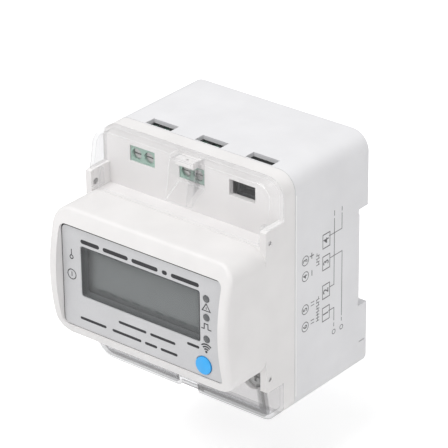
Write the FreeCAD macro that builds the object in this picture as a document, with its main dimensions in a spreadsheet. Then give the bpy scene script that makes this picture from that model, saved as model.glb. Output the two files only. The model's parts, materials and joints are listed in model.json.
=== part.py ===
import FreeCAD, Part
import os
import re

# Single-phase smart electricity meter for a 35 mm top-hat rail, four modules wide.
# Frame: +X right, +Y back towards the rail, +Z up. The origin is the rail seat face on the rail's
# centre line, in the middle of the width. Lengths are millimetres.

doc = FreeCAD.newDocument("smart_electric_meter")
sheet = doc.addObject("Spreadsheet::Sheet", "dims")

# Depths are distances in front of the rail seat (-Y) and levels are heights from the rail's centre
# line, unless the name says otherwise.
DIMENSIONS = {
    # outer body
    "half_width": 37.0,
    "top_level": 43.1,
    "bottom_level": 41.1,
    "edge_round": 6.5,
    "heel_round": 3.8,
    "skin": 2.0,
    "lip_reach": 4.4,
    "notch_half": 17.65,
    "seat_half": 15.9,
    "seat_relief": 0.4,
    "seam_depth": 33.85,
    "seam_groove": 0.2,
    "shoulder_depth": 39.65,
    "lip_pocket": 2.4,
    # nose and its convex face
    "nose_half": 22.8,
    "face_depth": 68.4,
    "face_radius": 64.0,
    "face_rise": -0.7,
    "face_edge": 1.7,
    "nose_skin": 3.2,
    "nose_inner_round": 3.0,
    "front_inner": 63.4,
    "recess_floor": 21.4,
    "recess_front": 49.0,
    # ears and cover pivots
    "ear_inner": 34.6,
    "ear_reach": 48.7,
    "ear_top": 28.7,
    "ear_foot": 16.0,
    "pivot_depth": 46.7,
    "pivot_level": 24.2,
    "pivot_bore": 1.15,
    "pivot_pin": 1.1,
    "pin_end": 36.0,
    # clear covers
    "cover_gap": 0.1,
    "cover_skin": 1.5,
    "cover_foot_depth": 48.9,
    "cover_foot_level": 23.0,
    "cover_lean": 10.0,
    "cover_split": 28.8,
    "cover_neck_half": 34.45,
    "cover_arm_back": 44.4,
    "cover_edge": 2.0,
    # well in the upper cover, where the seal lug comes through
    "well_left": 3.8,
    "well_right": 4.5,
    "well_wall": 1.2,
    "well_mouth": 52.0,
    "well_floor": 41.2,
    "well_mouth_level": 25.0,
    "well_floor_level": 31.6,
    "well_block_mouth": 23.6,
    "well_block_floor": 30.9,
    "well_top": 41.0,
    "gate_low": 36.8,
    "gate_high": 40.8,
    "finger_middle": 2.15,
    "finger_half": 4.5,
    "finger_depth": 43.2,
    # bays under the upper cover
    "bay_pitch": 20.5,
    "window_half": 5.2,
    "window_low": 31.7,
    "window_high": 37.2,
    "slot_shift": 1.6,
    "slot_half": 5.25,
    "slot_near": 33.4,
    "slot_far": 29.2,
    "lug_left": 3.4,
    "lug_right": 4.1,
    "lug_depth": 43.6,
    "lug_low": 38.4,
    "lug_high": 40.6,
    "lug_hole_across": 0.75,
    "lug_hole_depth": 42.4,
    "lug_hole": 0.5,
    # mains terminals
    "mains_pitch": 16.0,
    "mains_level": 31.5,
    "mains_access": 3.9,
    "head_bore": 3.75,
    "head_radius": 3.6,
    "shank_bore": 2.6,
    "shank_radius": 2.5,
    "chamber_half": 5.9,
    "chamber_near": 33.6,
    "chamber_far": 11.0,
    "chamber_roof": 25.2,
    "carrier_half": 34.8,
    "carrier_near": 37.55,
    "carrier_far": 9.0,
    "carrier_floor": 39.0,
    "carrier_roof": 23.3,
    "carrier_round": 4.4,
    "cage_half": 5.8,
    "cage_near": 27.0,
    "cage_far": 12.0,
    "cage_height": 4.5,
    "cage_skin": 1.5,
    "entry_half": 5.0,
    "entry_near": 25.0,
    "entry_far": 12.5,
    # copper
    "bar_near": 23.5,
    "bar_far": 22.0,
    "tongue_half": 4.0,
    "tongue_low": 37.5,
    "riser_top": 14.0,
    "shunt_low": 19.0,
    # signal terminals
    "signal_half": 5.1,
    "signal_face": 39.3,
    "signal_step": 37.55,
    "signal_back": 21.65,
    "signal_low": 30.2,
    "signal_high": 40.9,
    "signal_offset": 2.54,
    "signal_level": 34.45,
    "signal_bore": 1.95,
    "signal_head": 1.85,
    "signal_shank": 1.2,
    "clamp_half": 1.95,
    "clamp_near": 34.2,
    "clamp_far": 28.2,
    "clamp_height": 2.9,
    "clamp_skin": 0.8,
    # boards and what they carry
    "board_half": 29.2,
    "board_near": 21.6,
    "board_far": 20.0,
    "board_low": 21.0,
    "board_high": 40.6,
    "post_across": 27.6,
    "post_high": 26.0,
    "post_low": 19.9,
    "display_half": 34.2,
    "display_near": 57.0,
    "display_far": 55.4,
    "display_high": 18.4,
    "stake_across": 32.2,
    "stake_level": 15.5,
    # faceplate, lens, lamps and button
    "plate_half": 33.3,
    "plate_high": 17.4,
    "plate_low": 19.0,
    "plate_round": 2.2,
    "plate_front": 65.1,
    "plate_back": 64.6,
    "lens_middle": -0.8,
    "lens_half": 24.5,
    "lens_low": 6.8,
    "lens_high": 10.9,
    "lamp_across": 26.4,
    "lamp_radius": 1.2,
    "button_across": 25.15,
    "button_level": 14.87,
    "button_radius": 3.05,
    "button_front": 65.5,
    # screws that close the housing
    "joint_across": 32.2,
    "joint_high": 36.5,
    "joint_low": 20.6,
    # clip that locks on the rail
    "clip_half": 8.95,
    "clip_near": 1.25,
    "clip_far": 3.35,
    "clip_tip": 16.2,
    "clip_foot": 37.9,
}
for row, (alias, size) in enumerate(DIMENSIONS.items(), start=1):
    sheet.set(f"A{row}", alias)
    sheet.set(f"B{row}", str(size))
    sheet.setAlias(f"B{row}", alias)
doc.recompute()

ALIAS = re.compile(r"[a-z_]{2,}")
TURN = {
    "X": FreeCAD.Rotation(FreeCAD.Vector(0, 1, 0), 90),
    "Y": FreeCAD.Rotation(FreeCAD.Vector(1, 0, 0), -90),
    "Z": FreeCAD.Rotation(),
}
nodes = []


def bind(obj, prop, text):
    """Tie a property to an expression of sheet names."""
    obj.setExpression(prop, ALIAS.sub(lambda found: "dims." + found.group(0), str(text)))


def box(name, x, y, z):
    """Box between the two expressions given along each axis."""
    solid = doc.addObject("Part::Box", name)
    for side, (low, high) in zip(("Length", "Width", "Height"), (x, y, z)):
        bind(solid, side, f"({high}) - ({low})")
    for axis, (low, _) in zip("xyz", (x, y, z)):
        bind(solid, f"Placement.Base.{axis}", low)
    return solid


def rod(name, axis, radius, span, across):
    """Cylinder along an axis; across holds its place on the other two axes in order."""
    solid = doc.addObject("Part::Cylinder", name)
    solid.Placement = FreeCAD.Placement(FreeCAD.Vector(), TURN[axis])
    bind(solid, "Radius", radius)
    bind(solid, "Height", f"({span[1]}) - ({span[0]})")
    bind(solid, f"Placement.Base.{axis.lower()}", span[0])
    others = [letter for letter in "xyz" if letter != axis.lower()]
    for letter, place in zip(others, across):
        bind(solid, f"Placement.Base.{letter}", place)
    return solid


def fuse(name, *shapes):
    joined = doc.addObject("Part::MultiFuse", name)
    joined.Shapes = list(shapes)
    return joined


def common(name, *shapes):
    shared = doc.addObject("Part::MultiCommon", name)
    shared.Shapes = list(shapes)
    return shared


def cut(name, base, *tools):
    result = doc.addObject("Part::Cut", name)
    result.Base = base
    result.Tool = tools[0] if len(tools) == 1 else fuse(name + "_tools", *tools)
    return result


def ramped(name, x, y, feet, top):
    """Block with a sloping underside; feet holds its levels at the near and the far depth."""
    solid = doc.addObject("Part::Wedge", name)
    for side, value in (
        ("Xmin", x[0]), ("X2min", x[0]), ("Xmax", x[1]), ("X2max", x[1]), ("Ymin", y[0]), ("Ymax", y[1]),
        ("Zmin", feet[0]), ("Z2min", feet[1]), ("Zmax", top), ("Z2max", top),
    ):
        bind(solid, side, value)
    return solid


def mirrored(name, source):
    """Copy of a shape across the level of the rail's centre line."""
    copy = doc.addObject("Part::Mirroring", name)
    copy.Source = source
    copy.Normal = FreeCAD.Vector(0, 0, 1)
    return copy


def rounded_block(name, x, y, z, radius, heel=None):
    """Block whose four edges along Y are rounded; a heel gives the lower right edge a smaller radius."""
    inside_x = (f"({x[0]}) + ({radius})", f"({x[1]}) - ({radius})")
    inside_z = (f"({z[0]}) + ({radius})", f"({z[1]}) - ({radius})")
    shapes = [box(name + "_wide", x, y, inside_z), box(name + "_tall", inside_x, y, z)]
    for number, place in enumerate([(a, b) for a in inside_x for b in inside_z], start=1):
        shapes.append(rod(f"{name}_corner_{number}", "Y", radius, y, place))
    if heel:
        centre = (f"({x[1]}) - ({heel})", f"({z[0]}) + ({heel})")
        shapes.append(box(name + "_heel_wide", (inside_x[1], x[1]), y, (centre[1], inside_z[0])))
        shapes.append(box(name + "_heel_tall", (inside_x[1], centre[0]), y, (z[0], inside_z[0])))
        shapes.append(rod(name + "_heel", "Y", heel, y, centre))
    return fuse(name, *shapes)


def soften(name, base, radius, wanted):
    """Fillet the edges that the test picks; the radius is read from the sheet."""
    doc.recompute()
    size = float(sheet.get(radius))
    numbers = [i for i, edge in enumerate(base.Shape.Edges, start=1) if wanted(edge)]
    rounded = doc.addObject("Part::Fillet", name)
    rounded.Base = base
    rounded.Edges = [(number, size, size) for number in numbers]
    return rounded


def node(obj, name):
    """Name the finished piece; its label is its file name."""
    obj.Label = name
    nodes.append(obj)
    return obj


def level_pair(sign, low, high):
    """Two levels above the rail's centre line, or the same two below it."""
    return (low, high) if sign > 0 else (f"-({high})", f"-({low})")


def size(alias):
    return float(sheet.get(alias))


across_body = ("-half_width", "half_width")
across_inside = ("skin - half_width", "half_width - skin")
body_levels = ("-bottom_level", "top_level")
inside_levels = ("skin - bottom_level", "top_level - skin")
bays = (-1, 0, 1)
mains_places = ("-1.5 * mains_pitch", "-0.5 * mains_pitch", "0.5 * mains_pitch", "1.5 * mains_pitch")
corners = [(x, z) for x in ("-joint_across", "joint_across") for z in ("-joint_low", "joint_high")]

# ---------------------------------------------------------------- rear housing
shell = rounded_block(
    "rear_shell", across_body, ("-seam_depth", "lip_reach"), body_levels, "edge_round", "heel_round"
)
hollow = rounded_block(
    "rear_hollow", across_inside, ("-seam_depth - 1", "-skin"), inside_levels, "edge_round - skin",
    "heel_round - skin"
)
notch = box(
    "rail_notch", ("-half_width - 1", "half_width + 1"), ("0", "lip_reach + 1"), ("-notch_half", "notch_half")
)
lip_hollow = box(
    "lip_hollow", ("-30", "30"), ("-skin - 1", "lip_pocket"), ("notch_half + skin", "top_level - skin")
)
channel = box("clip_channel", ("-clip_half - 0.05", "clip_half + 0.05"),
              ("clip_near - 0.05", "clip_far + 0.05"), ("-bottom_level - 1", "0"))
channel_mouth = box("clip_mouth", ("-7", "7"), ("clip_far", "lip_reach + 1"), ("-bottom_level - 1", "0"))
side_groove = box("side_groove", ("half_width - 0.5", "half_width + 1"), ("0.5", "3.3"), ("-31.5", "-31.1"))
rear_cuts = [hollow, notch, lip_hollow, channel, channel_mouth, side_groove]
for sign, end in ((1, "upper"), (-1, "lower")):
    rear_cuts.append(
        box(f"seat_relief_{end}", ("-half_width - 1", "half_width + 1"), ("-seat_relief", "1"),
            level_pair(sign, "seat_half", "notch_half"))
    )
for bay in bays:
    middle = f"{bay} * bay_pitch + slot_shift"
    rear_cuts.append(
        box(
            f"wire_slot_{bay + 2}",
            (f"{middle} - slot_half", f"{middle} + slot_half"),
            ("-slot_near", "-slot_far"),
            ("top_level - skin - 1", "top_level + 1"),
        )
    )
for number, place in enumerate(mains_places, start=1):
    rear_cuts.append(
        box(
            f"mains_entry_{number}",
            (f"{place} - entry_half", f"{place} + entry_half"),
            ("-entry_near", "-entry_far"),
            ("-bottom_level - 1", "skin - bottom_level + 0.5"),
        )
    )
rear_open = cut("rear_open", shell, *rear_cuts)
rear_adds = [rear_open, rod("clip_peg", "Y", "1.5", ("clip_near - 0.3", "clip_far - 0.35"), ("0", "-33"))]
for number, start in enumerate(("-14", "6"), start=1):
    rear_adds.append(
        box(f"rail_hook_{number}", (start, f"{start} + 8"), ("1.4", "3"), ("clip_tip", "notch_half + 0.5"))
    )
for number, (across, level) in enumerate(corners, start=1):
    rear_adds.append(rod(f"joint_boss_{number}", "Y", "2.5", ("-seam_depth", "2.6"), (across, level)))
    rear_adds.append(rod(f"joint_seat_{number}", "Y", "3.6", ("-3.6", "2.6"), (across, level)))
for number, (across, level) in enumerate(
    [(x, z) for x in ("-post_across", "post_across") for z in ("-post_low", "post_high")], start=1
):
    rear_adds.append(rod(f"board_post_{number}", "Y", "1.5", ("-board_far", "2.6"), (across, level)))
    rear_adds.append(rod(f"board_pin_{number}", "Y", "1", ("-board_near - 0.3", "0"), (across, level)))
rear_solid = fuse("rear_solid", *rear_adds)
rear_bores = []
for number, (across, level) in enumerate(corners, start=1):
    rear_bores.append(rod(f"joint_bore_{number}", "Y", "1.55", ("-seam_depth - 1", "1"), (across, level)))
    rear_bores.append(
        rod(f"joint_counterbore_{number}", "Y", "2.7", ("-0.6", "lip_reach + 1"), (across, level))
    )
node(cut("rear_housing", rear_solid, *rear_bores), "rear_housing")

# --------------------------------------------------------------- front housing
shoulders = rounded_block(
    "shoulders", across_body, ("-shoulder_depth", "-seam_depth - seam_groove"), body_levels, "edge_round",
    "heel_round"
)
seam_neck = rounded_block(
    "seam_neck",
    ("seam_groove - half_width", "half_width - seam_groove"),
    ("-shoulder_depth + 1", "-seam_depth"),
    ("seam_groove - bottom_level", "top_level - seam_groove"),
    "edge_round - seam_groove",
    "heel_round - seam_groove",
)
nose_block = rounded_block(
    "nose_block", across_body, ("-face_depth - 1", "-shoulder_depth + 1"), ("-nose_half", "nose_half"), "edge_round"
)
face_roll = rod(
    "face_roll", "X", "face_radius", ("-half_width - 1", "half_width + 1"), ("face_radius - face_depth", "face_rise")
)
nose_sharp = common("nose_sharp", nose_block, face_roll)
face_axis_depth = size("face_radius") - size("face_depth")


def on_face(edge):
    """True for the rim of the convex face."""
    for point in edge.discretize(5):
        reach = ((point.y - face_axis_depth) ** 2 + (point.z - size("face_rise")) ** 2) ** 0.5
        if abs(reach - size("face_radius")) > 0.001:
            return False
    return True


nose = soften("nose", nose_sharp, "face_edge", on_face)
front_adds = [shoulders, seam_neck, nose]
for side, wall in (("left", ("-half_width", "-ear_inner")), ("right", ("ear_inner", "half_width"))):
    for sign, end in ((1, "upper"), (-1, "lower")):
        label = f"ear_{end}_{side}"
        pivot = "pivot_level" if sign > 0 else "-pivot_level"
        back = box(label + "_back", wall, ("-pivot_depth", "-shoulder_depth + 1"),
                   level_pair(sign, "ear_foot", "ear_top"))
        low = box(label + "_low", wall, ("-ear_reach", "-pivot_depth"),
                  level_pair(sign, "ear_foot", "pivot_level"))
        tip_roll = rod(label + "_roll", "X", "ear_top - pivot_level", wall, ("-pivot_depth", pivot))
        tip_box = box(label + "_tip_box", wall, ("-ear_reach", "-pivot_depth"),
                      level_pair(sign, "pivot_level", "ear_top"))
        front_adds += [back, low, common(label + "_tip", tip_roll, tip_box)]
lug = box("seal_lug", ("-lug_left", "lug_right"), ("-lug_depth", "-shoulder_depth + 1"), ("lug_low", "lug_high"))
front_blank = fuse("front_blank", *front_adds, lug)

front_cuts = [
    rounded_block(
        "plate_recess",
        ("-plate_half - 0.1", "plate_half + 0.1"),
        ("-face_depth - 1", "-plate_back"),
        ("-plate_low - 0.1", "plate_high + 0.1"),
        "plate_round + 0.1",
    ),
    rounded_block(
        "shoulder_hollow",
        across_inside,
        ("skin - shoulder_depth", "-seam_depth + 1"),
        inside_levels,
        "edge_round - skin",
        "heel_round - skin",
    ),
    rounded_block(
        "nose_hollow",
        across_inside,
        ("-front_inner", "-seam_depth + 1"),
        ("nose_skin - nose_half", "nose_half - nose_skin"),
        "nose_inner_round",
    ),
    box("lens_opening", ("lens_middle - lens_half - 0.05", "lens_middle + lens_half + 0.05"),
        ("-face_depth - 1", "-front_inner + 1"), ("-lens_low - 0.05", "lens_high + 0.05")),
    rod("button_opening", "Y", "button_radius + 0.05", ("-face_depth - 1", "-front_inner + 1"),
        ("button_across", "-button_level")),
    rod("lug_opening", "Z", "lug_hole", ("lug_low - 1", "lug_high + 1"), ("lug_hole_across", "-lug_hole_depth")),
    rod("pivot_upper", "X", "pivot_bore", ("-half_width - 1", "half_width + 1"), ("-pivot_depth", "pivot_level")),
    rod("pivot_lower", "X", "pivot_bore", ("-half_width - 1", "half_width + 1"), ("-pivot_depth", "-pivot_level")),
]
lamp_levels = ("9.1", "2.5", "-5.2")
for number, level in enumerate(lamp_levels, start=1):
    front_cuts.append(
        rod(f"lamp_opening_{number}", "Y", "lamp_radius + 0.05", ("-face_depth - 1", "-front_inner + 1"),
            ("lamp_across", level))
    )
for sign, end in ((1, "upper"), (-1, "lower")):
    front_cuts.append(
        box(f"cover_recess_{end}", ("-ear_inner", "ear_inner"), ("-recess_front", "-shoulder_depth"),
            level_pair(sign, "recess_floor", "nose_half + 0.5"))
    )
for bay in bays:
    front_cuts.append(
        box(f"window_{bay + 2}", (f"{bay} * bay_pitch - window_half", f"{bay} * bay_pitch + window_half"),
            ("-shoulder_depth - 1", "skin - shoulder_depth + 1"), ("window_low", "window_high"))
    )
for number, place in enumerate(mains_places, start=1):
    front_cuts.append(
        rod(f"mains_access_{number}", "Y", "mains_access", ("-shoulder_depth - 1", "skin - shoulder_depth + 1"),
            (place, "-mains_level"))
    )
front_open = cut("front_open", front_blank, *front_cuts)
front_posts = [front_open]
for number, (across, level) in enumerate(corners, start=1):
    front_posts.append(rod(f"joint_post_{number}", "Y", "2.5", ("-shoulder_depth + 0.5", "-seam_depth"),
                           (across, level)))
for number, (across, level) in enumerate(
    [(x, z) for x in ("-stake_across", "stake_across") for z in ("-stake_level", "stake_level")], start=1
):
    front_posts.append(rod(f"display_post_{number}", "Y", "1.8", ("-front_inner - 0.5", "-display_near"),
                           (across, level)))
    front_posts.append(rod(f"display_stake_{number}", "Y", "1", ("-display_near - 1", "-display_far + 0.4"),
                           (across, level)))
front_solid = fuse("front_solid", *front_posts)
front_bores = [
    rod(f"joint_pilot_{number}", "Y", "1.5", ("-38.2", "-seam_depth + 1"), place)
    for number, place in enumerate(corners, start=1)
]
node(cut("front_housing", front_solid, *front_bores), "front_housing")

# ------------------------------------------------------- faceplate and display
plate_blank = rounded_block(
    "plate_blank", ("-plate_half", "plate_half"), ("-plate_front", "-plate_back"), ("-plate_low", "plate_high"),
    "plate_round"
)
plate_cuts = [
    rounded_block(
        "plate_window",
        ("lens_middle - lens_half - 0.15", "lens_middle + lens_half + 0.15"),
        ("-face_depth - 1", "-front_inner"),
        ("-lens_low - 0.15", "lens_high + 0.15"),
        "0.8",
    ),
    rod("plate_button_hole", "Y", "button_radius + 0.2", ("-face_depth - 1", "-front_inner"),
        ("button_across", "-button_level")),
]
for number, level in enumerate(lamp_levels, start=1):
    plate_cuts.append(
        rod(f"plate_lamp_hole_{number}", "Y", "lamp_radius + 0.1", ("-face_depth - 1", "-front_inner"),
            ("lamp_across", level))
    )
node(cut("faceplate", plate_blank, *plate_cuts), "faceplate")

lens_front = rounded_block(
    "lens_front", ("lens_middle - lens_half", "lens_middle + lens_half"), ("-plate_front - 0.1", "-front_inner + 0.5"),
    ("-lens_low", "lens_high"), "0.8"
)


def behind_lens(name, half, y, z):
    """Box centred behind the lens, with its depth given from the inside of the front wall."""
    near, far = y
    return box(name, (f"lens_middle - {half}", f"lens_middle + {half}"),
               (f"-front_inner + {near}", f"-front_inner + {far}"), z)


lens_flange = behind_lens("lens_flange", 25.7, (0.05, 1.2), ("-8.6", "12.7"))
node(fuse("display_window", lens_front, lens_flange), "display_window")
node(behind_lens("lcd_panel", 25.3, (1.25, 3.3), ("-9.1", "13.2")), "lcd_panel")
holder_blank = fuse(
    "holder_blank",
    behind_lens("holder_back", 25.85, (3.35, 6.35), ("-10.5", "15.2")),
    behind_lens("holder_top", 25.85, (0.1, 4), ("13.3", "15.2")),
    behind_lens("holder_foot", 25.85, (0.1, 4), ("-10.5", "-9.2")),
)
holder_pocket = behind_lens("holder_pocket", 22, (3, 5), ("-6.7", "11.3"))
node(cut("lcd_holder", holder_blank, holder_pocket), "lcd_holder")
node(behind_lens("backlight_panel", 21.9, (3.35, 4.95), ("-6.6", "11.2")), "backlight_panel")

display_blank = box("display_blank", ("-display_half", "display_half"), ("-display_near", "-display_far"),
                    ("-display_high", "display_high"))
stake_holes = [
    rod(f"stake_hole_{number}", "Y", "1.05", ("-display_near - 1", "-display_far + 1"), place)
    for number, place in enumerate(
        [(x, z) for x in ("-stake_across", "stake_across") for z in ("-stake_level", "stake_level")], start=1
    )
]
node(cut("display_board", display_blank, *stake_holes), "display_board")

pipe_parts = [
    box("pipe_bar", ("lamp_across - 1.15", "lamp_across + 1.15"), ("-front_inner + 0.05", "-front_inner + 1.2"),
        ("-6.6", "10.5"))
]
for number, level in enumerate(lamp_levels, start=1):
    spot = ("lamp_across", level)
    pipe_parts.append(
        rod(f"pipe_front_{number}", "Y", "lamp_radius", ("-plate_front - 0.15", "-front_inner + 1"), spot)
    )
    pipe_parts.append(rod(f"pipe_back_{number}", "Y", "1", ("-front_inner + 1", "-front_inner + 5.25"), spot))
node(fuse("led_light_pipes", *pipe_parts), "led_light_pipes")
for number, level in enumerate(lamp_levels, start=1):
    lamp = box(f"status_led_{number}", ("lamp_across - 1", "lamp_across + 1"),
               ("-front_inner + 5.3", "-display_near"), (f"{level} - 0.6", f"{level} + 0.6"))
    node(lamp, f"status_led_{number}")

button_place = ("button_across", "-button_level")
button_cap = rod("button_cap", "Y", "button_radius", ("-button_front", "-front_inner + 0.5"), button_place)
button_flange = rod("button_flange", "Y", "3.9", ("-front_inner + 0.1", "-front_inner + 1.1"), button_place)
button_stem = rod("button_stem", "Y", "1.5", ("-front_inner + 1", "-front_inner + 1.9"), button_place)
node(fuse("mode_button", button_cap, button_flange, button_stem), "mode_button")
plunger = rod("switch_plunger", "Y", "1.7", ("-front_inner + 1.9", "-front_inner + 3.8"), button_place)
node(plunger, "switch_plunger")
switch_body = box("switch_body", ("button_across - 3", "button_across + 3"),
                  ("-front_inner + 2.8", "-display_near"), ("-button_level - 3", "3 - button_level"))
switch_well = rod("switch_well", "Y", "1.75", ("-front_inner + 2", "-front_inner + 4.7"), button_place)
node(cut("tact_switch", switch_body, switch_well), "tact_switch")

ribbon_parts = [
    box("ribbon_tape", ("-20", "-8"), ("-display_far + 0.05", "-21.65"), ("-12.9", "-12")),
    box("ribbon_plug_front", ("-21", "-7"), ("-display_far + 0.05", "-51.4"), ("-14.5", "-10.5")),
    box("ribbon_plug_rear", ("-21", "-7"), ("-25.6", "-21.65"), ("-14.5", "-10.5")),
]
node(fuse("display_ribbon", *ribbon_parts), "display_ribbon")

# ------------------------------------------------ main board and what it carries
board_blank = box("board_blank", ("-board_half", "board_half"), ("-board_near", "-board_far"),
                  ("-board_low", "board_high"))
board_holes = [
    rod(f"post_hole_{number}", "Y", "1.05", ("-board_near - 1", "-board_far + 1"), place)
    for number, place in enumerate(
        [(x, z) for x in ("-post_across", "post_across") for z in ("-post_low", "post_high")], start=1
    )
]
blades = (("left", "2.3", "3.9"), ("right", "13.4", "15"))
for side, start, end in blades:
    board_holes.append(
        box(f"blade_hole_{side}", (f"{start} - 0.1", f"{end} + 0.1"), ("-board_near - 1", "-board_far + 1"),
            ("-shunt_low - 0.1", "-riser_top + 0.1"))
    )
node(cut("main_board", board_blank, *board_holes), "main_board")
relay_parts = [box("relay_case", ("-23", "16"), ("-board_far + 0.05", "-4"), ("-17.5", "17.5"))]
for side, start, end in blades:
    relay_parts.append(
        box(f"relay_blade_{side}", (start, end), ("-bar_near", "-board_far + 1"), ("-shunt_low", "-riser_top"))
    )
node(fuse("latching_relay", *relay_parts), "latching_relay")
core = box("transformer_core", ("17.3", "29"), ("-board_far + 0.05", "-7"), ("-17", "-13"))
core_top = box("transformer_core_top", ("17.3", "29"), ("-board_far + 0.05", "-7"), ("1", "5"))
coil = box("transformer_coil", ("18.3", "28"), ("-board_far + 0.05", "-8.5"), ("-14", "2"))
node(fuse("supply_transformer", core, core_top, coil), "supply_transformer")
node(rod("supply_capacitor", "Y", "5", ("-board_far + 0.05", "-5"), ("23", "13")), "supply_capacitor")
radio_board = box("radio_board", ("2", "18"), ("-22.6", "-board_near"), ("2", "28"))
radio_can = box("radio_can", ("3", "17"), ("-25", "-22.5"), ("3", "20"))
node(fuse("wireless_module", radio_board, radio_can), "wireless_module")

# ------------------------------------------------------------ mains conductors
node(box("current_shunt", ("15", "1.5 * mains_pitch - tongue_half"), ("-bar_near", "-bar_far"),
         ("-shunt_low", "-riser_top")), "current_shunt")


def tongue(number, place):
    """Blade inside one cage."""
    return box(f"tongue_{number}", (f"{place} - tongue_half", f"{place} + tongue_half"),
               ("-bar_near", "-bar_far"), ("-tongue_low", "-carrier_roof + 0.5"))


line_in_riser = box("line_in_riser", ("1.5 * mains_pitch - tongue_half", "1.5 * mains_pitch + tongue_half"),
                    ("-bar_near", "-bar_far"), ("-carrier_roof", "-riser_top"))
node(fuse("line_in_busbar", tongue(4, mains_places[3]), line_in_riser), "line_in_busbar")
line_out_riser = box("line_out_riser", ("3.95", "10"), ("-bar_near", "-bar_far"), ("-carrier_roof", "-riser_top"))
node(fuse("line_out_busbar", tongue(3, mains_places[2]), line_out_riser), "line_out_busbar")
neutral_strip = box("neutral_strip", ("-1.5 * mains_pitch - tongue_half", "-0.5 * mains_pitch + tongue_half"),
                    ("-bar_near", "-bar_far"), ("-carrier_roof + 0.3", "-18"))
neutral_parts = [tongue(1, mains_places[0]), tongue(2, mains_places[1]), neutral_strip]
node(fuse("neutral_busbar", *neutral_parts), "neutral_busbar")

# ------------------------------------------------------------- mains terminals
carrier_block = rounded_block(
    "carrier_block",
    ("-carrier_half", "carrier_half"),
    ("-carrier_near", "-carrier_far"),
    ("-carrier_floor", "-carrier_roof"),
    "carrier_round",
)
carrier_cuts = []
for number, place in enumerate(mains_places, start=1):
    spot = (place, "-mains_level")
    carrier_cuts += [
        box(f"chamber_{number}", (f"{place} - chamber_half", f"{place} + chamber_half"),
            ("-chamber_near", "-chamber_far"), ("-carrier_floor - 1", "-chamber_roof")),
        rod(f"head_bore_{number}", "Y", "head_bore", ("-carrier_near - 1", "-34.7"), spot),
        rod(f"shank_bore_{number}", "Y", "shank_bore", ("-35", "-chamber_near + 1"), spot),
        box(f"tongue_slot_{number}", (f"{place} - tongue_half - 0.1", f"{place} + tongue_half + 0.1"),
            ("-bar_near - 0.05", "-bar_far + 0.05"), ("-chamber_roof - 1", "-carrier_roof + 1")),
    ]
node(cut("terminal_carrier", carrier_block, *carrier_cuts), "terminal_carrier")

for number, place in enumerate(mains_places, start=1):
    spot = (place, "-mains_level")
    head = rod(f"mains_head_{number}", "Y", "head_radius", ("-37.9", "-34.9"), spot)
    shank = rod(f"mains_shank_{number}", "Y", "shank_radius", ("-35", "-bar_near - 0.1"), spot)
    blank = fuse(f"mains_screw_blank_{number}", head, shank)
    slot = box(f"mains_slot_{number}", (f"{place} - 2.9", f"{place} + 2.9"), ("-38.5", "-36.7"),
               ("-mains_level - 0.45", "-mains_level + 0.45"))
    cross = box(f"mains_cross_{number}", (f"{place} - 0.45", f"{place} + 0.45"), ("-38.5", "-36.7"),
                ("-mains_level - 2", "-mains_level + 2"))
    node(cut(f"mains_screw_{number}", blank, slot, cross), f"mains_screw_{number}")
    cage_block = box(f"cage_block_{number}", (f"{place} - cage_half", f"{place} + cage_half"),
                     ("-cage_near", "-cage_far"),
                     ("-mains_level - cage_height", "-mains_level + cage_height"))
    cage_mouth = box(f"cage_mouth_{number}", (f"{place} - cage_half + cage_skin - 0.2",
                                              f"{place} + cage_half - cage_skin + 0.2"),
                     ("-cage_near + cage_skin", "-cage_far - cage_skin"),
                     ("-mains_level - cage_height - 1", "-mains_level + cage_height + 1"))
    thread = rod(f"cage_thread_{number}", "Y", "shank_radius + 0.05", ("-cage_near - 1", "-cage_near + 3"), spot)
    node(cut(f"mains_cage_{number}", cage_block, cage_mouth, thread), f"mains_cage_{number}")

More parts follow.
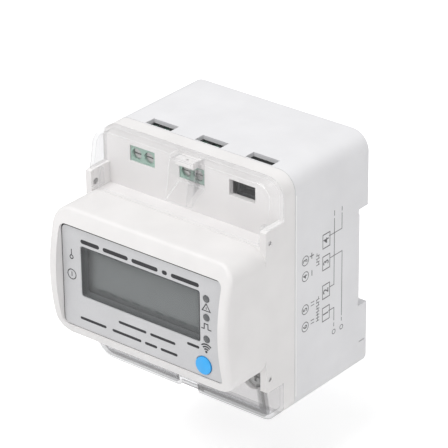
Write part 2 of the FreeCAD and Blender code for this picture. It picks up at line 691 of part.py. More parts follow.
# ------------------------------------------------------------ signal terminals
signal_names = {-1: "signal_terminal_left", 0: "signal_terminal_middle"}
signal_number = 6
for bay, title in signal_names.items():
    middle = f"{bay} * bay_pitch"
    sides = (f"{middle} - signal_half", f"{middle} + signal_half")
    body = box(title + "_body", sides, ("-signal_step", "-signal_back"), ("signal_low", "signal_high"))
    face = box(title + "_face", sides, ("-signal_face", "-signal_step + 1"),
               ("window_low + 0.05", "window_high - 0.05"))
    funnel = box(title + "_funnel", (f"{middle} - 4.4", f"{middle} + 4.4"), ("-33.3", "-29.3"),
                 ("signal_high - 1.6", "signal_high + 1"))
    signal_cuts = [funnel]
    for shift in ("-signal_offset", "signal_offset"):
        place = f"{middle} + {shift}"
        spot = (place, "signal_level")
        tag = f"{title}_{'a' if shift[0] == '-' else 'b'}"
        signal_cuts += [
            rod(tag + "_head_bore", "Y", "signal_bore", ("-signal_face - 1", "-36.6"), spot),
            rod(tag + "_shank_bore", "Y", "signal_shank + 0.1", ("-37", "-35.5"), spot),
            box(tag + "_chamber", (f"{place} - clamp_half - 0.05", f"{place} + clamp_half + 0.05"),
                ("-36", "-28"), ("signal_level - 3.1", "signal_level + 3.1")),
            box(tag + "_well", (f"{place} - 1.6", f"{place} + 1.6"), ("-33.1", "-29.3"),
                ("signal_level", "signal_high")),
        ]
        head = rod(f"signal_head_{signal_number}", "Y", "signal_head", ("-38.6", "-37"), spot)
        shank = rod(f"signal_shank_{signal_number}", "Y", "signal_shank", ("-37.2", "-32.6"), spot)
        blank = fuse(f"signal_screw_blank_{signal_number}", head, shank)
        slot = box(f"signal_slot_{signal_number}", (f"{place} - 2", f"{place} + 2"), ("-39", "-38"),
                   ("signal_level - 0.25", "signal_level + 0.25"))
        node(cut(f"signal_screw_{signal_number}", blank, slot), f"signal_screw_{signal_number}")
        clamp_block = box(f"clamp_block_{signal_number}", (f"{place} - clamp_half", f"{place} + clamp_half"),
                          ("-clamp_near", "-clamp_far"),
                          ("signal_level - clamp_height", "signal_level + clamp_height"))
        clamp_mouth = box(f"clamp_mouth_{signal_number}", (f"{place} - clamp_half + 0.4",
                                                           f"{place} + clamp_half - 0.4"),
                          ("-clamp_near + clamp_skin", "-clamp_far - clamp_skin"),
                          ("signal_level - 4", "signal_level + 4"))
        clamp_thread = rod(f"clamp_thread_{signal_number}", "Y", "signal_shank + 0.05", ("-35", "-33"), spot)
        node(cut(f"signal_clamp_{signal_number}", clamp_block, clamp_mouth, clamp_thread),
             f"signal_clamp_{signal_number}")
        signal_number -= 1
    node(cut(title, fuse(title + "_blank", body, face), *signal_cuts), title)
spare_body = box("spare_body", ("bay_pitch - signal_half", "bay_pitch + signal_half"),
                 ("-signal_step + 1.5", "-signal_back"), ("signal_low", "signal_high - 1"))
spare_pocket = box("spare_pocket", ("bay_pitch - 4", "bay_pitch + 4"), ("-40", "-signal_step + 4"), ("32", "37"))
node(cut("spare_bay_block", spare_body, spare_pocket), "spare_bay_block")

# -------------------------------------------------------------- hinged covers
lean = doc.addObject("Part::Box", "cover_lean_outer")
lean_inner = doc.addObject("Part::Box", "cover_lean_inner")
for block, inset in ((lean, "0"), (lean_inner, "cover_skin * 1.0154")):
    block.Placement = FreeCAD.Placement(
        FreeCAD.Vector(), FreeCAD.Rotation(FreeCAD.Vector(1, 0, 0), -size("cover_lean"))
    )
    bind(block, "Length", "4 * half_width")
    bind(block, "Width", "half_width")
    bind(block, "Height", "half_width")
    bind(block, "Placement.Base.x", "-2 * half_width")
    bind(block, "Placement.Base.y", f"{inset} - cover_foot_depth")
    bind(block, "Placement.Base.z", "cover_foot_level")


def leaning_rim(sign):
    """Test for the front rim of a cover, away from its hinge side."""

    def wanted(edge):
        slope = FreeCAD.Rotation(FreeCAD.Vector(1, 0, 0), -sign * size("cover_lean"))
        normal = slope.multVec(FreeCAD.Vector(0, -1, 0))
        foot = FreeCAD.Vector(0, -size("cover_foot_depth"), sign * size("cover_foot_level"))
        points = edge.discretize(5)
        flat = all(abs((point - foot).dot(normal)) < 0.001 for point in points)
        return flat and sign * points[2].z > size("cover_split") + 0.5

    return wanted


for sign, end in ((1, "upper"), (-1, "lower")):
    far = "top_level" if sign > 0 else "bottom_level"
    depth = ("-cover_foot_depth - 2", "-shoulder_depth - cover_gap")
    lean_out = lean if sign > 0 else mirrored("cover_lean_outer_low", lean)
    lean_in = lean_inner if sign > 0 else mirrored("cover_lean_inner_low", lean_inner)
    hood_outline = rounded_block(
        f"{end}_hood_outline", across_body, depth, body_levels, "edge_round", "heel_round"
    )
    hood_range = box(f"{end}_hood_range", across_body, depth, level_pair(sign, "cover_split", far))
    neck = box(f"{end}_neck", ("-cover_neck_half", "cover_neck_half"), depth,
               level_pair(sign, "cover_foot_level", "cover_split"))
    hood = common(f"{end}_hood", hood_outline, hood_range)
    outer_sharp = common(f"{end}_outer_sharp", fuse(f"{end}_outer_blank", hood, neck), lean_out)
    outer = soften(f"{end}_outer", outer_sharp, "cover_edge", leaning_rim(sign))
    deep = ("-cover_foot_depth - 2", "-shoulder_depth + 1")
    inner_outline = rounded_block(
        f"{end}_inner_outline",
        ("cover_skin - half_width", "half_width - cover_skin"),
        deep,
        ("cover_skin - bottom_level", "top_level - cover_skin"),
        "edge_round - cover_skin",
        "heel_round - cover_skin",
    )
    inner_range = box(f"{end}_inner_range", across_body, deep, level_pair(sign, "cover_split", far))
    inner_neck = box(f"{end}_inner_neck", ("cover_skin - cover_neck_half", "cover_neck_half - cover_skin"), deep,
                     level_pair(sign, "cover_foot_level - 1", "cover_split"))
    inner_hood = common(f"{end}_inner_hood", inner_outline, inner_range)
    inner = common(f"{end}_inner", fuse(f"{end}_inner_blank", inner_hood, inner_neck), lean_in)
    arm_trim = box(f"{end}_arm_trim", across_body, ("-cover_arm_back", "-shoulder_depth + 1"),
                   level_pair(sign, "cover_foot_level - 1", "cover_split"))
    cover_cuts = [inner, arm_trim]
    if sign < 0:
        cover_cuts.append(
            box("finger_notch", ("finger_middle - finger_half", "finger_middle + finger_half"),
                ("-cover_foot_depth - 2", "-finger_depth"), ("-bottom_level - 1", "-36.5"))
        )
    cover_shell = cut(f"{end}_cover_shell", outer, *cover_cuts)
    pivot = "pivot_level" if sign > 0 else "-pivot_level"
    pins = [
        rod(f"{end}_pin_left", "X", "pivot_pin", ("-pin_end", "cover_skin - cover_neck_half"),
            ("-pivot_depth", pivot)),
        rod(f"{end}_pin_right", "X", "pivot_pin", ("cover_neck_half - cover_skin", "pin_end"),
            ("-pivot_depth", pivot)),
    ]
    if sign < 0:
        node(fuse("lower_cover", cover_shell, *pins), "lower_cover")
        continue
    well_block = ramped(
        "well_block",
        ("-well_left - well_wall", "well_right + well_wall"),
        ("-well_mouth", "-well_floor + well_wall"),
        ("well_block_mouth", "well_block_floor"),
        "well_top + well_wall",
    )
    well = ramped(
        "well", ("-well_left", "well_right"), ("-well_mouth", "-well_floor"),
        ("well_mouth_level", "well_floor_level"), "well_top"
    )
    lug_gate = box("lug_gate", ("-lug_left - 0.2", "lug_right + 0.2"), ("-well_floor - 1", "-well_floor + 2"),
                   ("gate_low", "gate_high"))
    cover_blank = fuse("upper_cover_blank", cover_shell, *pins, common("well_body", well_block, outer))
    node(cut("upper_cover", cover_blank, well, lug_gate), "upper_cover")

# ---------------------------------------------------- rail clip and case screws
clip_plate = box("clip_plate", ("-clip_half", "clip_half"), ("clip_near", "clip_far"), ("-clip_foot", "-clip_tip"))
clip_slot = box("clip_slot", ("-1.55", "1.55"), ("0", "lip_reach"), ("-34.55", "-28.45"))
clip_grip = box("clip_grip", ("-4", "4"), ("clip_near - 1", "clip_far + 1"), ("-36.9", "-35.7"))
node(cut("rail_clip", clip_plate, clip_slot, clip_grip), "rail_clip")

for number, place in enumerate(corners, start=1):
    head = rod(f"case_head_{number}", "Y", "2.6", ("-0.6", "1.4"), place)
    shank = rod(f"case_shank_{number}", "Y", "1.45", ("-38", "-0.5"), place)
    recess = rod(f"case_recess_{number}", "Y", "1.1", ("0.2", "2"), place)
    blank = fuse(f"case_blank_{number}", head, shank)
    node(cut(f"housing_screw_{number}", blank, recess), f"housing_screw_{number}")

# ------------------------------------------------------------ checks and files
doc.recompute()
for obj in doc.Objects:
    if "Invalid" in obj.State or "Error" in obj.State:
        raise RuntimeError(f"{obj.Name} failed: {obj.State}")
for piece in nodes:
    shape = piece.Shape
    if shape.isNull() or not shape.isValid() or len(shape.Solids) != 1:
        raise RuntimeError(f"{piece.Label} is not one valid solid ({len(shape.Solids)} solids)")
os.makedirs("parts", exist_ok=True)
for piece in nodes:
    piece.Shape.exportStep(f"parts/{piece.Label}.step")
print(len(nodes), "pieces written")
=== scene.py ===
"""Smart electric meter: finishes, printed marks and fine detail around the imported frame."""

import json
import math

import bmesh
import bpy
from mathutils import Matrix, Vector


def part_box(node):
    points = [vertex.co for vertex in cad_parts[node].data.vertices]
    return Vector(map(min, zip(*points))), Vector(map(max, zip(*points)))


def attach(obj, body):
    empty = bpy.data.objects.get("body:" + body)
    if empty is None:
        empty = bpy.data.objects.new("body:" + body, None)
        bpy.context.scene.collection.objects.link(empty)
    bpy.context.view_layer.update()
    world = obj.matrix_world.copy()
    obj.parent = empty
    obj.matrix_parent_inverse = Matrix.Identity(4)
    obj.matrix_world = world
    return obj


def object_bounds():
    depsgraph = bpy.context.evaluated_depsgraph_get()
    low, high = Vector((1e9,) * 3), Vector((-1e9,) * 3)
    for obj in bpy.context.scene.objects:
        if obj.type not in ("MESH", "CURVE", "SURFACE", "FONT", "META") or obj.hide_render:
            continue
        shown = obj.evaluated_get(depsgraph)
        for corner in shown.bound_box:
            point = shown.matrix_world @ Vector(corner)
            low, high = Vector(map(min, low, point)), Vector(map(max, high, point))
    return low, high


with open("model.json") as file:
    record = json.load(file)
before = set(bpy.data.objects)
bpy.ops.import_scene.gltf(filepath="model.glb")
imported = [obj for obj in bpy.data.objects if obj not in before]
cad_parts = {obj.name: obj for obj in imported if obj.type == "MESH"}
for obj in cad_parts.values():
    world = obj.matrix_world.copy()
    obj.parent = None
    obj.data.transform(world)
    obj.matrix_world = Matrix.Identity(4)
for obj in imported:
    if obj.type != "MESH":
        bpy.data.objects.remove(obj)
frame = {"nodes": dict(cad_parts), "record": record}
cad_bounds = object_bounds()
nodes = frame["nodes"]
MM = 0.001


# ------------------------------------------------------------------ materials
class Finish:
    """A material built from nodes in object space, with sizes given in millimetres."""

    def __init__(self, name, roughness=0.5, metallic=0.0, edge=0.2, **inputs):
        self.material = bpy.data.materials.new(name)
        self.material.use_nodes = True
        self.tree = self.material.node_tree
        self.shader = self.tree.nodes["Principled BSDF"]
        self.output = self.tree.nodes["Material Output"]
        self.place = self.add("ShaderNodeTexCoord").outputs["Object"]
        rounded = self.add("ShaderNodeBevel", {"Radius": edge * MM}, samples=4)
        self.facing = rounded.outputs["Normal"]
        looks = {"Roughness": roughness, "Metallic": metallic, "Normal": self.facing}
        self.set(self.shader, {**looks, **inputs})

    def add(self, kind, inputs=None, **settings):
        """A new node with its settings, and its inputs set or linked."""
        made = self.tree.nodes.new(kind)
        for key, value in settings.items():
            setattr(made, key, value)
        self.set(made, inputs or {})
        return made

    def set(self, node, inputs):
        for key, value in inputs.items():
            if isinstance(value, bpy.types.NodeSocket):
                self.tree.links.new(value, node.inputs[key])
            else:
                node.inputs[key].default_value = value

    def noise(self, size, detail=2.0, stretch=(1, 1, 1)):
        """Noise whose features are about this many millimetres across, longer where stretch is above 1."""
        scales = [1 / (size * MM * longer) for longer in stretch]
        place = self.add("ShaderNodeMapping", {"Vector": self.place, "Scale": scales}).outputs[0]
        made = self.add("ShaderNodeTexNoise", {"Vector": place, "Scale": 1.0, "Detail": detail})
        return made.outputs["Fac"]

    def ramp(self, factor, dark, light, start=0.3, end=0.7):
        """From one colour to the other while the factor runs from start to end."""
        made = self.add("ShaderNodeValToRGB", {"Fac": factor})
        low, high = made.color_ramp.elements
        low.position, low.color = start, (*dark, 1)
        high.position, high.color = end, (*light, 1)
        return made.outputs["Color"]

    def spread(self, factor, low, high, start=0.0, end=1.0):
        """Runs from low to high while the factor runs from start to end, and is held beyond."""
        made = self.add(
            "ShaderNodeMapRange",
            {"Value": factor, "From Min": start, "From Max": end, "To Min": low, "To Max": high},
        )
        return made.outputs["Result"]

    def math(self, operation, a, b=0.0):
        made = self.add("ShaderNodeMath", operation=operation)
        self.set(made, {0: a, 1: b})
        return made.outputs[0]

    def axis(self, letter):
        """One coordinate of the place in metres."""
        return self.add("ShaderNodeSeparateXYZ", {"Vector": self.place}).outputs[letter.upper()]

    def sheen(self, index, normal=None):
        """Share of light that an outer surface of this refractive index throws back; none from inside."""
        share = self.add("ShaderNodeFresnel", {"IOR": index, **({"Normal": normal} if normal else {})})
        inside = self.add("ShaderNodeNewGeometry").outputs["Backfacing"]
        return self.math("MULTIPLY", share.outputs[0], self.math("SUBTRACT", 1.0, inside))

    def multiply(self, color, factor):
        made = self.add("ShaderNodeVectorMath", operation="MULTIPLY")
        self.set(made, {0: color, 1: factor})
        return made.outputs["Vector"]

    def blend(self, share, first, second):
        """One surface over another, the second by this share."""
        made = self.add("ShaderNodeMixShader", {"Fac": share})
        self.set(made, {1: first, 2: second})
        return made.outputs[0]

    def inward(self, half, foot, left_round, right_round):
        """Distance in metres in from a block's outline in X and Z, whose lower corners are rounded."""
        across, level = self.axis("x"), self.axis("z")
        on_right = self.math("GREATER_THAN", across, 0.0)
        corner = self.math("ADD", left_round, self.math("MULTIPLY", on_right, right_round - left_round))
        beyond = [
            self.math("SUBTRACT", self.math("ABSOLUTE", across), self.math("SUBTRACT", half, corner)),
            self.math("SUBTRACT", self.math("MULTIPLY", level, -1.0), self.math("SUBTRACT", -foot, corner)),
        ]
        squares = []
        for reach in beyond:
            outer = self.math("MAXIMUM", reach, 0.0)
            squares.append(self.math("MULTIPLY", outer, outer))
        round_reach = self.math("SQRT", self.math("ADD", *squares))
        flat_reach = self.math("MINIMUM", self.math("MAXIMUM", *beyond), 0.0)
        return self.math("SUBTRACT", corner, self.math("ADD", round_reach, flat_reach))

    def edge_band(self, outline, near, far, dark):
        """Grey band between two distances, in millimetres, in from an outline."""
        ramp_width = 6
        share = self.math("MULTIPLY", self.inward(*outline), 1 / (ramp_width * MM))
        band = self.add("ShaderNodeValToRGB", {"Fac": share})
        stops = band.color_ramp.elements
        stops[0].position, stops[0].color = (near - 0.2) / ramp_width, (1, 1, 1, 1)
        stops[1].position, stops[1].color = near / ramp_width, (dark, dark, dark, 1)
        for reach, value in ((far, dark), (far * 1.25, 1)):
            stops.new(reach / ramp_width).color = (value, value, value, 1)
        return band.outputs["Color"]

    def within(self, letter, low, high):
        """One where the place lies between two millimetre values on this axis, nothing elsewhere."""
        place = self.axis(letter)
        above = self.math("GREATER_THAN", place, low * MM)
        return self.math("MULTIPLY", above, self.math("LESS_THAN", place, high * MM))

    def darken(self, color, dark, *shares):
        """The colour, dimmed where all the shares are one."""
        common = 1.0
        for share in shares:
            common = self.math("MULTIPLY", common, share)
        return self.multiply(color, self.spread(common, 1.0, dark))

    def bump(self, height, depth, strength=1.0):
        """Relief of this many millimetres from the height."""
        made = self.add(
            "ShaderNodeBump",
            {"Height": height, "Distance": depth * MM, "Strength": strength, "Normal": self.facing},
        )
        self.set(self.shader, {"Normal": made.outputs["Normal"]})


def scaled(color, factor):
    return tuple(min(1.0, channel * factor) for channel in color)


def moulded(name, color, roughness=0.45, grain=0.3, depth=0.012, shade=0.03, **inputs):
    """Moulded plastic: spark-eroded grain, faint flow marks in colour and gloss."""
    finish = Finish(name, **inputs)
    flow = finish.noise(14, 3)
    fine = finish.noise(grain, 3)
    cloud = finish.noise(2.5, 2)
    finish.set(
        finish.shader,
        {
            "Base Color": finish.ramp(flow, scaled(color, 1 - shade), scaled(color, 1 + shade)),
            "Roughness": finish.spread(cloud, roughness - 0.08, roughness + 0.08),
        },
    )
    finish.bump(fine, depth)
    return finish.material


def metal(name, color, roughness=0.3, stretch=(1, 1, 1), grain=0.25, depth=0.01, shade=0.12):
    """Metal with a drawn or plated surface and slight tarnish."""
    finish = Finish(name, metallic=1.0)
    tarnish = finish.noise(3, 4)
    lines = finish.noise(grain, 2, stretch)
    finish.set(
        finish.shader,
        {
            "Base Color": finish.ramp(tarnish, scaled(color, 1 - shade), scaled(color, 1 + shade)),
            "Roughness": finish.spread(lines, roughness - 0.1, roughness + 0.12),
        },
    )
    finish.bump(lines, depth)
    return finish.material


def overlay(name, color):
    """Silver printed film: fine flake in colour and gloss under a satin coat."""
    finish = Finish(name, metallic=0.25, **{"Coat Weight": 0.15, "Coat Roughness": 0.35})
    flake = finish.noise(0.22, 4)
    cloud = finish.noise(9, 3)
    mixed = finish.math("ADD", finish.math("MULTIPLY", flake, 0.7), finish.math("MULTIPLY", cloud, 0.3))
    finish.set(
        finish.shader,
        {
            "Base Color": finish.ramp(mixed, scaled(color, 0.9), scaled(color, 1.08)),
            "Roughness": finish.spread(flake, 0.36, 0.5),
        },
    )
    finish.bump(flake, 0.006)
    return finish.material


def left_end_painted_shade(finish, tone):
    """Painted shade: greys the upper cover's left wall, which is seen edge on."""
    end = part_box("upper_cover")[0].x
    share = finish.spread(finish.axis("x"), 0.76, 1.0, end + 0.05 * MM, end + 1.55 * MM)
    return finish.multiply(tone, share)


# the lower cover's painted shade, in millimetres: the rounds of its lower corners, left and right, the band
# of painted shade inside its outline (from, to, how dark), how thick and dark its sole is painted, its
# finger notch in X and the wall at the notch's back in Y, and the painted shade lines of that wall above
# the sole (from, to, how dark)
FOOT_ROUNDS = (6.5 * MM, 3.8 * MM)
FOOT_SHADE_BAND = (1.8, 3.9, 0.55)
SOLE_THICK, SOLE_SHADE = 1.4, 0.87
NOTCH_SIDES, NOTCH_BACK = (-2.5, 6.8), (-43.4, -43.0)
NOTCH_SHADE_LINES = ((-0.1, 0.4, 0.5), (0.4, 1.15, 0.9), (1.15, 1.7, 0.6))


def foot_painted_shade(finish, tone):
    """Painted shade of the lower cover: a band inside its outline, its sole, and the edges of its finger
    notch.
    """
    low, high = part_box("lower_cover")
    tone = finish.multiply(tone, finish.edge_band((high.x, low.z, *FOOT_ROUNDS), *FOOT_SHADE_BAND))
    sole = low.z / MM
    tone = finish.darken(tone, SOLE_SHADE, finish.within("z", sole - 0.2, sole + SOLE_THICK))
    across = finish.within("x", *NOTCH_SIDES)
    back = finish.within("y", *NOTCH_BACK)
    for start, end, dark in NOTCH_SHADE_LINES:
        tone = finish.darken(tone, dark, across, back, finish.within("z", sole + start, sole + end))
    return tone


def clear(name, tint, rim, haze, highlight_strength, painted_shade):
    """Clear moulding: greys at its rims, glints, carries a little haze, and has a painted highlight, a
    white layer, along its sharp edges.

    Its painted shade is that of one moulding, added by a function of the finish and its tone.
    """
    finish = Finish(name, edge=0.35)
    scuffs = finish.noise(1.2, 3)
    waves = {"Height": finish.noise(5, 2), "Distance": 0.03 * MM, "Normal": finish.facing}
    ripple = finish.add("ShaderNodeBump", waves).outputs["Normal"]
    slant = finish.add("ShaderNodeLayerWeight", {"Blend": 0.35, "Normal": ripple})
    tone = finish.ramp(slant.outputs["Facing"], tint, scaled(tint, rim), 0.35, 0.95)

    # an edge is where the rounded normal turns away from the true one; along it a white layer is mixed in
    # as a painted highlight
    flat = finish.add("ShaderNodeNewGeometry").outputs["True Normal"]
    turn = finish.add("ShaderNodeVectorMath", {0: flat, 1: finish.facing}, operation="DOT_PRODUCT")
    edge = finish.spread(finish.math("SUBTRACT", 1.0, turn.outputs["Value"]), 0.0, highlight_strength, end=0.2)
    cloud = finish.math("MAXIMUM", finish.spread(scuffs, haze * 0.6, haze * 1.4), edge)

    surface = finish.add("ShaderNodeBsdfTransparent", {"Color": painted_shade(finish, tone)}).outputs[0]
    gloss = {"Roughness": finish.spread(scuffs, 0.04, 0.14), "Normal": ripple}
    glint = finish.add("ShaderNodeBsdfGlossy", gloss)
    frost_and_highlight = finish.add("ShaderNodeBsdfDiffuse", {"Color": (0.93, 0.93, 0.935, 1)})
    # the white frost layer gives both the haze and the painted highlight along the edges
    for share, layer in ((cloud, frost_and_highlight), (finish.sheen(1.5, ripple), glint)):
        surface = finish.blend(share, surface, layer.outputs[0])

    # light on its way to other surfaces passes straight through
    unseen = finish.add("ShaderNodeBsdfTransparent").outputs[0]
    seen = finish.add("ShaderNodeLightPath").outputs["Is Camera Ray"]
    finish.set(finish.output, {"Surface": finish.blend(seen, unseen, surface)})
    return finish.material


def pane(name, tint, gloss=0.05):
    """Thin optical window: no bending of what is behind it, only tint, sheen and a few fine scratches."""
    finish = Finish(name)
    marks = finish.noise(3, 2, (6, 1, 1))
    roughness = finish.spread(marks, gloss * 0.5, gloss * 2)
    glint = finish.add("ShaderNodeBsdfGlossy", {"Roughness": roughness})
    through = finish.add("ShaderNodeBsdfTransparent", {"Color": (*tint, 1)})
    surface = finish.blend(finish.sheen(1.45), through.outputs[0], glint.outputs[0])
    finish.set(finish.output, {"Surface": surface})
    return finish.material


def circuit(name, color):
    """Solder mask with buried tracks."""
    finish = Finish(name, roughness=0.35, **{"Coat Weight": 0.3})
    tracks = finish.add(
        "ShaderNodeTexBrick",
        {
            "Vector": finish.place,
            "Scale": 1 / (3 * MM),
            "Mortar Size": 0.04,
            "Color1": (*color, 1),
            "Color2": (*scaled(color, 0.85), 1),
            "Mortar": (*scaled(color, 1.9), 1),
        },
    )
    finish.set(finish.shader, {"Base Color": tracks.outputs["Color"]})
    finish.bump(tracks.outputs["Fac"], 0.03, 0.6)
    return finish.material


def crystal(name, color):
    """Unlit liquid crystal panel: plain grey with a faint cloud, and painted shade darkening it towards its
    window's edges.
    """
    finish = Finish(name, roughness=0.22)
    low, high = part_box("display_window")
    depth = 1.0
    for letter, near, far in (("x", low.x, high.x), ("z", low.z, high.z)):
        place = finish.axis(letter)
        for edge in (finish.math("SUBTRACT", place, near), finish.math("SUBTRACT", far, place)):
            depth = finish.math("MINIMUM", depth, edge)
    # painted shade: the grey is darkest at the window's edges and lightens inward
    inward = finish.math("MULTIPLY", finish.spread(depth, 0.0, 1.0, end=7 * MM), 0.8)
    cloud = finish.math("MULTIPLY", finish.noise(12, 2), 0.2)
    mixed = finish.math("ADD", inward, cloud)
    shade = finish.ramp(mixed, scaled(color, 0.62), scaled(color, 1.08), 0.05, 0.75)
    finish.set(finish.shader, {"Base Color": shade})
    return finish.material


def sleeve(name, front, back, start, reach):
    """Dark sleeve that pales with depth from its front edge."""
    finish = Finish(name, roughness=0.55)
    inward = finish.math("MULTIPLY", finish.spread(finish.axis("y"), 0.0, 1.0, start, start + reach), 0.9)
    cloud = finish.math("MULTIPLY", finish.noise(3, 2), 0.1)
    shade = finish.ramp(finish.math("ADD", inward, cloud), front, back, 0.05, 0.95)
    finish.set(finish.shader, {"Base Color": shade})
    return finish.material


def ribbed(name, color, pitch):
    """Flat cable: parallel conductors under a matt jacket."""
    finish = Finish(name, roughness=0.5)
    wave = finish.add(
        "ShaderNodeTexWave",
        {"Vector": finish.place, "Scale": 1 / (pitch * MM * 20 / math.tau), "Distortion": 0.2},
        bands_direction="X",
    )
    shade = finish.ramp(wave.outputs["Fac"], scaled(color, 0.7), scaled(color, 1.1))
    finish.set(finish.shader, {"Base Color": shade})
    finish.bump(wave.outputs["Fac"], 0.08)
    return finish.material


# the display's sleeve starts to pale just ahead of the window
window_low, window_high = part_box("display_window")
SLEEVE_START, SLEEVE_FADE = window_low.y - 1.3 * MM, 4 * MM

finishes = {
    "housing_white": moulded("housing_white", (0.80, 0.785, 0.78), 0.42, depth=0.006),
    # a brighter white, used only for the painted highlight along the seams
    "seam_highlight_white": moulded("seam_highlight_white", (0.93, 0.925, 0.925), 0.4, depth=0.004),
    "housing_rear": moulded("housing_rear", (0.77, 0.768, 0.783), 0.46),
    # the clear finishes: tint, rim, haze, strength of the painted edge highlight, and the function that
    # adds painted shade
    "clear_cover": clear("clear_cover", (0.99, 0.99, 0.993), 0.86, 0.012, 0.7, left_end_painted_shade),
    "clear_foot": clear("clear_foot", (0.965, 0.965, 0.972), 0.66, 0.05, 0.3, foot_painted_shade),
    "faceplate_silver": overlay("faceplate_silver", (0.60, 0.60, 0.612)),
    "lens_clear": pane("lens_clear", (0.93, 0.95, 0.95)),
    "lcd_glass": crystal("lcd_glass", (0.222, 0.214, 0.217)),
    "board_green": circuit("board_green", (0.01, 0.11, 0.05)),
    "button_blue": moulded(
        "button_blue", (0.03, 0.42, 0.92), 0.32, 0.2, 0.006, 0.05, **{"Coat Weight": 0.25}
    ),
    "terminal_green": moulded("terminal_green", (0.31, 0.46, 0.39), 0.4, 0.25, 0.01),
    "terminal_dark": moulded("terminal_dark", (0.035, 0.037, 0.042), 0.5, 0.3, 0.02, 0.1),
    "screw_steel": metal("screw_steel", (0.50, 0.50, 0.49), 0.34),
    "brass_cage": metal("brass_cage", (0.72, 0.54, 0.27), 0.32, (1, 6, 1)),
    "copper_bar": metal("copper_bar", (0.80, 0.42, 0.27), 0.28, (1, 1, 8)),
    "shunt_alloy": metal("shunt_alloy", (0.55, 0.47, 0.40), 0.35, (8, 1, 1)),
    "relay_case": moulded("relay_case", (0.62, 0.62, 0.60), 0.4),
    "ferrite": moulded("ferrite", (0.03, 0.03, 0.032), 0.6, 0.4, 0.03, 0.15),
    "can_tin": metal("can_tin", (0.66, 0.67, 0.68), 0.34, (6, 1, 1)),
    "holder_white": moulded("holder_white", (0.72, 0.72, 0.71), 0.5),
    "ribbon_grey": ribbed("ribbon_grey", (0.35, 0.36, 0.38), 1.27),
    "clip_grey": moulded("clip_grey", (0.30, 0.31, 0.32), 0.5, 0.35, 0.02, 0.06),
    "print_black": moulded("print_black", (0.022, 0.022, 0.026), 0.5, 0.2, 0.002, 0.2),
    "print_grey": moulded("print_grey", (0.17, 0.17, 0.175), 0.55, 0.2, 0.002, 0.12),
    "lamp_smoke": moulded(
        "lamp_smoke", (0.10, 0.105, 0.11), 0.25, 0.15, 0.002, 0.08, **{"Coat Weight": 0.5}
    ),
    "mask_black": sleeve(
        "mask_black", (0.03, 0.031, 0.034), (0.17, 0.172, 0.176), SLEEVE_START, SLEEVE_FADE
    ),
    # near black, used for painted shade: under the wire slots and round the faceplate
    "painted_shade_black": moulded("painted_shade_black", (0.006, 0.007, 0.007), 0.7, 0.3, 0.01, 0.2),
    "segment_dark": moulded("segment_dark", (0.13, 0.131, 0.133), 0.3, 0.2, 0.001, 0.08),
}


# ------------------------------------------------------- frame nodes' surfaces
CREASE = math.radians(35)
OTHER_FINISH = {"rear_housing": "housing_rear", "lower_cover": "clear_foot"}


def dress(node, finish):
    """Gives a frame node its finish, with curved faces shaded evenly and creases kept."""
    piece = nodes[node]
    piece.data.materials.clear()
    piece.data.materials.append(finish)
    piece.data.polygons.foreach_set("use_smooth", [True] * len(piece.data.polygons))
    if "custom_normal" in piece.data.attributes:
        piece.data.attributes.remove(piece.data.attributes["custom_normal"])
    piece.modifiers.new("joined_faces", "WELD").merge_threshold = 0.0005 * MM
    piece.modifiers.new("creases", "EDGE_SPLIT").split_angle = CREASE
    piece.modifiers.new("even_shading", "WEIGHTED_NORMAL").keep_sharp = True


for part in frame["record"]["subparts"]:
    dress(part["node"], finishes[OTHER_FINISH.get(part["node"], part["material_slot"])])


# ------------------------------------------------------------- shapes and pieces
def settle(mesh, name, finish, body):
    """Turns a finished mesh into a piece that rides on a body."""
    bmesh.ops.recalc_face_normals(mesh, faces=mesh.faces)
    data = bpy.data.meshes.new(name)
    mesh.to_mesh(data)
    mesh.free()
    data.materials.append(finishes[finish])
    piece = bpy.data.objects.new(name, data)
    bpy.context.scene.collection.objects.link(piece)
    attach(piece, body)


def bridge(mesh, loops):
    """Faces from each loop of points to the next, and from the last back to the first."""
    for loop, following in zip(loops, loops[1:] + loops[:1]):
        for i in range(len(loop)):
            j = (i + 1) % len(loop)
            mesh.faces.new((loop[i], loop[j], following[j], following[i]))


def sweep(u, v, radius, start, end, steps):
    """Points on an arc round a centre, between two angles in degrees, both ends included."""
    angles = [math.radians(start + (end - start) * i / steps) for i in range(steps + 1)]
    return [(u + radius * math.cos(angle), v + radius * math.sin(angle)) for angle in angles]


def rounded_outline(low_u, low_v, high_u, high_v, radius, steps=6):
    """Counter-clockwise outline of a rectangle with rounded corners."""
    outline = []
    for u, v, start in (
        (high_u - radius, high_v - radius, 0),
        (low_u + radius, high_v - radius, 90),
        (low_u + radius, low_v + radius, 180),
        (high_u - radius, low_v + radius, 270),
    ):
        outline += sweep(u, v, radius, start, start + 90, steps)
    return outline


def middle(node):
    low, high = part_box(node)
    return (low + high) / 2


FIGURE_HEIGHT = 0.7  # a numeral's height as a share of its font's size


